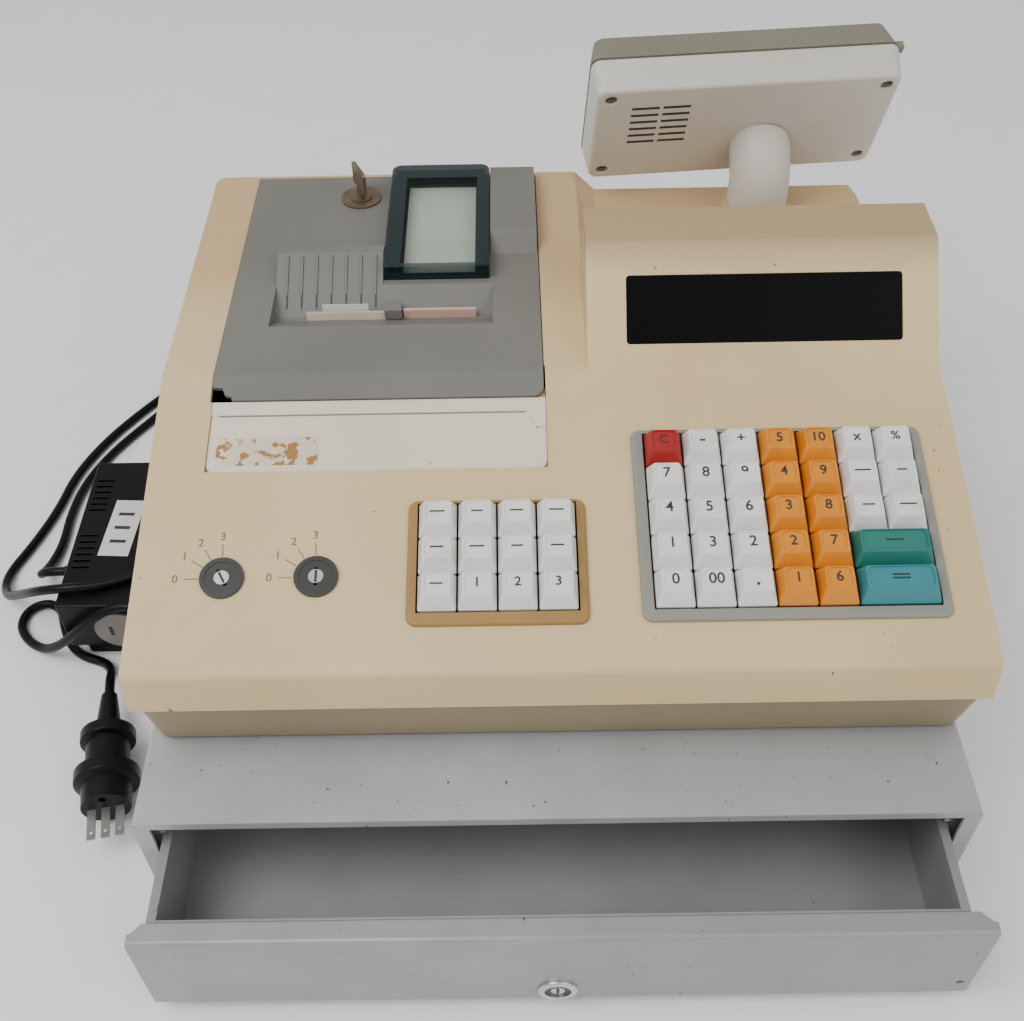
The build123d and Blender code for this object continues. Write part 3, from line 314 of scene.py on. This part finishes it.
MOULDED_EDGE = 0.0011
CRISP_EDGE = 0.0005
KEY_EDGE = 0.0006
for name in ("top_case", "printer_cover", "display_rear", "display_front", "base_shell"):
    soften(name, MOULDED_EDGE)
for name in ("front_panel", "power_case", "power_base", "main_keypad_frame", "drawer_front"):
    soften(name, CRISP_EDGE)
for name in [n for n in nodes if n.startswith("key") and n != "key_board"]:
    soften(name, KEY_EDGE)


# ---- small pieces ---------------------------------------------------------

def dressed(obj, look, body):
    """Gives a new piece its material and lets it move with a CAD body."""
    obj.data.materials.append(LOOK[look])
    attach(obj, body)
    return obj


def plate(name, centre, axes, size, look, body):
    """A small rectangular piece; axes is a 3x3 matrix of its own directions."""
    half = [length / 2 for length in size]
    corners = [Vector((x * half[0], y * half[1], z * half[2]))
               for x in (-1, 1) for y in (-1, 1) for z in (-1, 1)]
    faces = [(0, 1, 3, 2), (4, 6, 7, 5), (0, 4, 5, 1), (2, 3, 7, 6), (0, 2, 6, 4), (1, 5, 7, 3)]
    mesh = bpy.data.meshes.new(name)
    mesh.from_pydata([tuple(Vector(centre) + axes @ corner) for corner in corners], [], faces)
    obj = bpy.data.objects.new(name, mesh)
    bpy.context.collection.objects.link(obj)
    return dressed(obj, look, body)


def turned(angle, axes):
    """The given axes, turned about their own third direction."""
    return axes @ Matrix.Rotation(math.radians(angle), 3, "Z")


def round_plate(name, centre, axes, radius, height, look, body):
    """A thin disc; axes is a 3x3 matrix of its own directions."""
    count = 40
    angles = [math.tau * step / count for step in range(count)]
    ring = [(radius * math.cos(a), radius * math.sin(a)) for a in angles]
    points = [(x, y, -height / 2) for x, y in ring] + [(x, y, height / 2) for x, y in ring]
    faces = [tuple(reversed(range(count))), tuple(range(count, 2 * count))]
    faces += [(i, (i + 1) % count, count + (i + 1) % count, count + i) for i in range(count)]
    mesh = bpy.data.meshes.new(name)
    mesh.from_pydata([tuple(Vector(centre) + axes @ Vector(p)) for p in points], [], faces)
    obj = bpy.data.objects.new(name, mesh)
    bpy.context.collection.objects.link(obj)
    return dressed(obj, look, body)


def legend(text, u, s, height, size, look, body):
    """Printed characters lying on the deck or on a key."""
    curve = bpy.data.curves.new("legend", "FONT")
    curve.body = text
    curve.size = size
    curve.extrude = 0.00003
    curve.offset = 0.00008
    curve.align_x = "CENTER"
    curve.align_y = "CENTER"
    obj = bpy.data.objects.new("legend", curve)
    bpy.context.collection.objects.link(obj)
    obj.matrix_world = Matrix.Translation(on_deck(u, s, height)) @ DECK_AXES.to_4x4()
    return dressed(obj, look, body)


def key_legend(text, left, col, row, body, units=1, size=0.0077):
    """Characters printed in the dish of one key."""
    u = left + (col + units / 2) * PITCH
    s = KEYS_FRONT + (row + 0.5) * PITCH + 0.0024
    legend(text, u, s, LEGEND_H, size, "ink_and_painted_shade", body)


def key_dash(left, col, row, body, width, units=1, rise=0.0):
    """A plain bar printed in the dish of one key, in place of a word."""
    u = left + (col + units / 2) * PITCH
    s = KEYS_FRONT + (row + 0.5) * PITCH + 0.0022 + rise
    plate("key_dash", on_deck(u, s, LEGEND_H), DECK_AXES, (width, 0.0008, 0.00006),
          "ink_and_painted_shade", body)


for digit, col, row in (("0", 0, 0), ("1", 0, 1), ("3", 1, 1), ("2", 2, 1), ("4", 0, 2),
                        ("5", 1, 2), ("6", 2, 2), ("7", 0, 3), ("8", 1, 3), ("9", 2, 3)):
    key_legend(digit, MAIN_LEFT, col, row, "key_" + digit + "_body")
key_legend("00", MAIN_LEFT, 1, 0, "keys_decimal_body")
key_legend(".", MAIN_LEFT, 2, 0, "keys_decimal_body", size=0.012)
key_legend("C", MAIN_LEFT, 0, 4, "key_clear_body", size=0.0068)
key_legend("-", MAIN_LEFT, 1, 4, "key_minus_body", size=0.010)
key_legend("+", MAIN_LEFT, 2, 4, "key_plus_body")
for row in range(5):
    key_legend(str(row + 1), MAIN_LEFT, 3, row, "keys_department_body", size=0.0072)
    key_legend(str(row + 6), MAIN_LEFT, 4, row, "keys_department_body", size=0.0072)
key_legend("x", MAIN_LEFT, 5, 4, "keys_function_body")
key_legend("%", MAIN_LEFT, 6, 4, "keys_function_body", size=0.0066)
for col, row, width in ((5, 3, 0.008), (6, 3, 0.005), (5, 2, 0.006), (6, 2, 0.008)):
    key_dash(MAIN_LEFT, col, row, "keys_function_body", width)
key_dash(MAIN_LEFT, 5, 1, "key_subtotal_body", 0.008, 2)
key_dash(MAIN_LEFT, 5, 0, "key_total_body", 0.008, 2, 0.0009)
key_dash(MAIN_LEFT, 5, 0, "key_total_body", 0.008, 2, -0.0009)
for col in range(4):
    for row in (1, 2):
        key_dash(AUX_LEFT, col, row, "keys_aux_body", 0.0055 + 0.0008 * ((col + row) % 3))
key_dash(AUX_LEFT, 0, 0, "keys_aux_body", 0.0060)
for col in (1, 2, 3):
    key_legend(str(col), AUX_LEFT, col, 0, "keys_aux_body", size=0.0066)

# Mode locks: position marks on the deck, bright keyhole plates on the rotors
LOCK_S = 0.0493
LEFT_LOCK_U = -0.1593
RIGHT_LOCK_U = -0.1145
MARK_R = 0.0150
NUMBER_R = 0.0225
for lock_u in (LEFT_LOCK_U, RIGHT_LOCK_U):
    for number, angle in enumerate((180, 148, 122, 94)):
        a = math.radians(angle)
        mark = on_deck(lock_u + MARK_R * math.cos(a), LOCK_S + MARK_R * math.sin(a), 0.00005)
        plate("lock_mark", mark, turned(angle, DECK_AXES), (0.0065, 0.0005, 0.0001),
              "brown_ink", "register")
        legend(str(number), lock_u + NUMBER_R * math.cos(a), LOCK_S + NUMBER_R * math.sin(a),
               0.00004, 0.0058, "brown_ink", "register")
for lock_u, angle, body in ((LEFT_LOCK_U, 118, "mode_left"), (RIGHT_LOCK_U, 90, "mode_right")):
    centre = on_deck(lock_u, LOCK_S, 0.00135)
    round_plate("keyhole_plate", centre, DECK_AXES, 0.0036, 0.0003, "nickel", body)
    # The dark slot is painted shade inside the keyhole.
    plate("keyhole_slot", on_deck(lock_u, LOCK_S, 0.0016), turned(angle, DECK_AXES),
          (0.0062, 0.0012, 0.0003), "ink_and_painted_shade", body)

# Drawer lock keyhole
UPRIGHT = Matrix(((1.0, 0.0, 0.0), (0.0, 0.0, -1.0), (0.0, 1.0, 0.0)))
round_plate("drawer_lock_face", placed(-0.0016, -0.2362, 0.0203), UPRIGHT, 0.0034, 0.0002,
            "nickel", "drawer_lock")
# The dark slot is painted shade inside the keyhole.
plate("drawer_keyhole", placed(-0.0016, -0.2364, 0.0203), UPRIGHT, (0.0015, 0.0052, 0.0002),
      "ink_and_painted_shade", "drawer_lock")

# Front panel: painted shadow along its raised step and in a small triangular notch, and a bare
# patch with glue left on it
plate("panel_step_shadow", on_deck(-0.0915, 0.1414, -0.0013), DECK_AXES,
      (0.1560, 0.0005, 0.0002), "seam", "register")
# A dark triangle of painted shadow in the notch at the right end of the step.
plate("panel_notch_shadow", on_deck(-0.0065, 0.1345, -0.0012), turned(-20, DECK_AXES),
      (0.0014, 0.0056, 0.0002), "seam", "register")
plate("corner_filler", on_deck(-0.0090, 0.1530, -0.0030), DECK_AXES,
      (0.0120, 0.0070, 0.0010), "cream", "register")
plate("badge_patch", on_deck(-0.14385, 0.1204, -0.00135), DECK_AXES, (0.0515, 0.0164, 0.0001),
      "residue", "register")

# Printer cover: paper under the window, dark sides, paper tab, pink strip
FLAT = Matrix.Identity(3)


def in_case(u, depth, z):
    """A point given across the case, back from its front, and its height."""
    return Vector((CASE_X + u, CASE_FRONT + depth, z))


plate("journal_paper", in_case(-0.0602, 0.2925, COVER_Z + 0.0006), FLAT,
      (0.0407, 0.088, 0.0002), "paper", "cover")
plate("window_side_left", in_case(-0.0850, 0.2925, COVER_Z + 0.0004), FLAT,
      (0.0085, 0.090, 0.0003), "ink_and_painted_shade", "cover")
plate("window_side_right", in_case(-0.0370, 0.2925, COVER_Z + 0.0004), FLAT,
      (0.0060, 0.090, 0.0003), "ink_and_painted_shade", "cover")
RAMP_TILT = math.radians(26.5)
RAMP_AXES = Matrix.Rotation(RAMP_TILT, 3, "X")
for number in range(7):
    plate("rib_shadow", in_case(-0.1451 + number * 0.0083, 0.2410, COVER_Z + 0.0013), RAMP_AXES,
          (0.0006, 0.0330, 0.0002), "ink_and_painted_shade", "cover")
plate("receipt_paper", in_case(-0.1115, 0.2222, COVER_Z - 0.0036), FLAT,
      (0.0255, 0.0003, 0.0060), "label", "cover")
plate("bar_divider", in_case(-0.0849, 0.2213, COVER_Z - 0.0041), FLAT,
      (0.0094, 0.0086, 0.0054), "cover", "cover")
plate("pink_strip", in_case(-0.0592, 0.2207, COVER_Z - 0.00615), FLAT,
      (0.0402, 0.0020, 0.0053), "pink", "cover")

# Upper display: painted shade in the depths of the vent slots on its back
HEAD_YAW = math.radians(4.6)
HEAD_TILT = math.radians(21.0)
HEAD_RIGHT = Vector((math.cos(HEAD_YAW), math.sin(HEAD_YAW), 0.0))
HEAD_OUT = Vector((math.sin(HEAD_YAW) * math.cos(HEAD_TILT),
                   -math.cos(HEAD_YAW) * math.cos(HEAD_TILT), -math.sin(HEAD_TILT)))
HEAD_AXES = Matrix((HEAD_RIGHT, HEAD_OUT.cross(HEAD_RIGHT), HEAD_OUT)).transposed()
HEAD_MIDDLE = in_case(0.1175, 0.3352, 0.238)
for row in range(6):
    for slot_x in (-0.0588, -0.0406):
        place = HEAD_MIDDLE + HEAD_AXES @ Vector((slot_x, 0.0226 - row * 0.0057, 0.00004))
        plate("vent_slot", place, HEAD_AXES, (0.0160, 0.0019, 0.0001), "ink_and_painted_shade", "customer_display")

# Power unit: plain warning plate and the socket on its front
LABEL_TURN = Matrix.Rotation(math.radians(-3), 3, "Z")
plate("unit_label", placed(-0.2650, 0.047, 0.05006), LABEL_TURN, (0.019, 0.047, 0.0002), "label",
      "register")
plate("unit_bar_top", placed(-0.2645, 0.0585, 0.0502), LABEL_TURN, (0.010, 0.0025, 0.0002), "ink_and_painted_shade",
      "register")
plate("unit_bar_middle", placed(-0.2650, 0.047, 0.0502), LABEL_TURN, (0.010, 0.0025, 0.0002), "ink_and_painted_shade",
      "register")
plate("unit_bar_low", placed(-0.2655, 0.0355, 0.0502), LABEL_TURN, (0.010, 0.0025, 0.0002), "ink_and_painted_shade",
      "register")
round_plate("unit_socket", placed(-0.258, -0.0155, 0.0280), UPRIGHT, 0.0155, 0.004, "socket",
            "register")
# The dark slots are painted shade inside the socket's holes.
for side in (-1, 1):
    plate("socket_slot", placed(-0.258 + side * 0.0055, -0.0177, 0.0280), UPRIGHT,
          (0.0018, 0.0075, 0.0004), "ink_and_painted_shade", "register")


# ---- leads ----------------------------------------------------------------

def millimetres(*points):
    """Route points written in millimetres, as metres in the row's frame."""
    return [tuple(placed(*(value / 1000 for value in point))) for point in points]


SUPPLY_ROUTE = millimetres(
    (-159.2, 232, 112), (-159.2, 247, 112), (-161, 263, 101), (-167, 275, 76),
    (-178, 282, 46), (-195, 283, 20), (-218, 274, 4), (-244, 254, 3.0),
    (-268, 224, 3.0), (-290, 192, 3.0), (-308, 164, 3.0), (-320, 134, 3.0),
    (-323.5, 104, 3.0), (-322, 76, 3.0), (-325, 56, 4.5), (-326, 41, 12),
    (-319, 34, 24), (-305, 34, 24),
)
MAINS_ROUTE = millimetres(
    (-139.2, 232, 112), (-139.2, 248, 112), (-141, 266, 100), (-148, 281, 74),
    (-160, 291, 43), (-180, 295, 17), (-208, 289, 4), (-238, 272, 3.0),
    (-268, 243, 3.0), (-294, 209, 3.0), (-315, 176, 3.0), (-329, 141, 3.0),
    (-333, 108, 3.0), (-342, 76, 3.0), (-353, 48, 3.0), (-346, 27, 8),
    (-327, 12, 28), (-308, -2, 48), (-289, -6, 55), (-268, -3, 53.1),
    (-248, 4, 53.1), (-231, 14, 53.1), (-215, 13.5, 53.1), (-206.5, 0, 53.1),
    (-209, -16.5, 53.1), (-223.5, -24.5, 53.1), (-240, -20.5, 53.2), (-255, -18, 52.5),
    (-269, -20.5, 45.5), (-283.5, -22, 32), (-298, -20, 17), (-312, -14, 5.5),
    (-325, -5, 3.0), (-333, 7, 3.0), (-331, 20, 3.0), (-320, 26, 3.0),
    (-309.5, 20, 3.0), (-305, 7, 3.0), (-298, -8, 3.0), (-287, -18, 3.0), (-272.5, -22.5, 3.0),
    (-264.5, -33, 8), (-261.1, -45, 18.2), (-258.6, -58, 18.2),
)


def lead(name, route):
    """A round lead through the same points as the CAD route."""
    curve = bpy.data.curves.new(name, "CURVE")
    curve.dimensions = "3D"
    curve.bevel_depth = LEAD_R
    curve.bevel_resolution = 4
    curve.use_fill_caps = True
    spline = curve.splines.new("NURBS")
    spline.points.add(len(route) - 1)
    for point, place in zip(spline.points, route):
        point.co = (*place, 1.0)
    spline.order_u = 3
    spline.use_endpoint_u = True
    spline.resolution_u = 8
    obj = bpy.data.objects.new(name, curve)
    bpy.context.collection.objects.link(obj)
    return dressed(obj, "lead", "register")


supply = lead("supply_lead_curve", SUPPLY_ROUTE)
mains = lead("mains_lead_curve", MAINS_ROUTE)
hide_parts("supply_lead")
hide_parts("mains_lead")


# ---- floor, lights and camera ---------------------------------------------

def add_floor():
    """A plain pale floor under the register."""
    mesh = bpy.data.meshes.new("floor")
    mesh.from_pydata([(-4, -4, 0), (4, -4, 0), (4, 4, 0), (-4, 4, 0)], [], [(0, 1, 2, 3)])
    floor = bpy.data.objects.new("floor", mesh)
    bpy.context.collection.objects.link(floor)
    floor.data.materials.append(finish("floor", (0.93, 0.93, 0.93), 0.8, mottle=0.01))


def add_light(name, place, size, power, target=(0, 0, 0.1)):
    """A soft square light that faces the register."""
    data = bpy.data.lights.new(name, "AREA")
    data.size = size
    data.energy = power
    light = bpy.data.objects.new(name, data)
    bpy.context.collection.objects.link(light)
    light.location = place
    light.rotation_euler = (Vector(target) - Vector(place)).to_track_quat("-Z", "Y").to_euler()


def add_world():
    """Even white light from all sides."""
    world = bpy.data.worlds.new("studio")
    world.use_nodes = True
    world.node_tree.nodes["Background"].inputs["Color"].default_value = (1.0, 1.0, 1.0, 1.0)
    world.node_tree.nodes["Background"].inputs["Strength"].default_value = 0.62
    bpy.context.scene.world = world


CAMERA_PLACE = (-0.0200, -0.4714, 0.6123)
CAMERA_YAW = -0.417
CAMERA_PITCH = 46.807
CAMERA_ROLL = -1.230
LENS = 42.87
SENSOR = 36.0
LENS_SHIFT = 0.0057


def add_camera():
    """The camera at the viewing angle of the reference."""
    yaw = math.radians(CAMERA_YAW)
    pitch = math.radians(CAMERA_PITCH)
    roll = math.radians(CAMERA_ROLL)
    ahead = Vector((math.sin(yaw) * math.cos(pitch), math.cos(yaw) * math.cos(pitch),
                    -math.sin(pitch)))
    right = Vector((math.cos(yaw), -math.sin(yaw), 0.0))
    up = right.cross(ahead)
    right_rolled = math.cos(roll) * right + math.sin(roll) * up
    up_rolled = math.cos(roll) * up - math.sin(roll) * right
    turn = Matrix((right_rolled, up_rolled, -ahead)).transposed()
    data = bpy.data.cameras.new("camera")
    data.lens = LENS
    data.sensor_width = SENSOR
    data.shift_x = LENS_SHIFT
    camera = bpy.data.objects.new("camera", data)
    bpy.context.collection.objects.link(camera)
    camera.matrix_world = Matrix.Translation(placed(*CAMERA_PLACE)) @ turn.to_4x4()
    bpy.context.scene.camera = camera


add_floor()
add_world()
add_light("key_light", (-0.9, -0.5, 1.7), 1.2, 24.0)
add_light("fill_light", (1.1, -0.9, 1.2), 1.4, 9.0)
add_camera()
